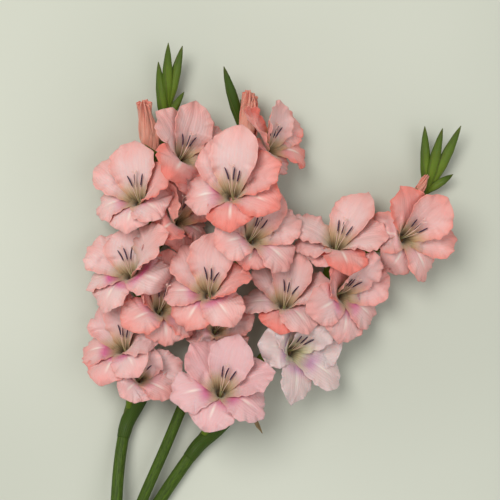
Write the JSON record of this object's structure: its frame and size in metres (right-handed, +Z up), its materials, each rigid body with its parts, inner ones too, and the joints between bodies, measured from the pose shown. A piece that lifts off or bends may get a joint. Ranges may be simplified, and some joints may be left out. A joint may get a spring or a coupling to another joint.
{
  "type": "bunch of cut gladioli",
  "caption": "Cut gladioli lying face up: long green stems that cross near their cut ends and carry ruffled pink florets up the front, with closed buds at the tips.",
  "frame": {"origin": "on the surface it lies on, under the middle of its bounding box", "axes": "+Z up from the surface, +Y along the spikes from the cut ends to the tips, +X to the right seen from above"},
  "size_m": [0.5098, 0.8362, 0.1088],
  "materials": {
    "stem_green": "fresh green stem with fine lengthwise ribs and a slight waxy gloss",
    "bract_green": "green sheaths with parallel veins, yellow-green to dark green, slightly waxy",
    "petal_pink": "soft translucent petals, pale pink faces with coral edges, white midribs and olive throats",
    "petal_lilac": "soft translucent petals, lilac white with a violet blush round the throat",
    "stamen_purple": "dusty dark purple anthers on pale filaments, with a pale style",
    "bud_coral": "rolled coral pink petals with fine lengthwise veins"
  },
  "bodies": {
    "root": {"left_stem": "stem_green", "left_bracts_1": "bract_green", "left_stamens_1": "stamen_purple", "left_floret_1": "petal_pink", "left_bracts_2": "bract_green", "left_stamens_2": "stamen_purple", "left_floret_2": "petal_pink", "left_bracts_3": "bract_green", "left_stamens_3": "stamen_purple", "left_floret_3": "petal_pink", "left_bracts_4": "bract_green", "left_stamens_4": "stamen_purple", "left_floret_4": "petal_pink", "left_bracts_5": "bract_green", "left_stamens_5": "stamen_purple", "left_floret_5": "petal_pink", "left_bracts_6": "bract_green", "left_stamens_6": "stamen_purple", "left_floret_6": "petal_pink", "left_bracts_7": "bract_green", "left_stamens_7": "stamen_purple", "left_floret_7": "petal_pink", "left_pink_bud": "bud_coral", "middle_stem": "stem_green", "middle_bracts_1": "bract_green", "middle_stamens_1": "stamen_purple", "middle_floret_1": "petal_pink", "middle_bracts_2": "bract_green", "middle_stamens_2": "stamen_purple", "middle_floret_2": "petal_pink", "middle_bracts_3": "bract_green", "middle_stamens_3": "stamen_purple", "middle_floret_3": "petal_pink", "middle_bracts_4": "bract_green", "middle_stamens_4": "stamen_purple", "middle_floret_4": "petal_pink", "middle_bracts_5": "bract_green", "middle_stamens_5": "stamen_purple", "middle_floret_5": "petal_pink", "middle_pink_bud": "bud_coral", "right_stem": "stem_green", "right_bracts_1": "bract_green", "right_stamens_1": "stamen_purple", "right_floret_1": "petal_pink", "right_bracts_2": "bract_green", "right_stamens_2": "stamen_purple", "right_floret_2": "petal_lilac", "right_bracts_3": "bract_green", "right_stamens_3": "stamen_purple", "right_floret_3": "petal_pink", "right_bracts_4": "bract_green", "right_stamens_4": "stamen_purple", "right_floret_4": "petal_pink", "right_bracts_5": "bract_green", "right_stamens_5": "stamen_purple", "right_floret_5": "petal_pink", "right_bracts_6": "bract_green", "right_stamens_6": "stamen_purple", "right_floret_6": "petal_pink", "right_pink_bud": "bud_coral"}
  },
  "joints": []
}
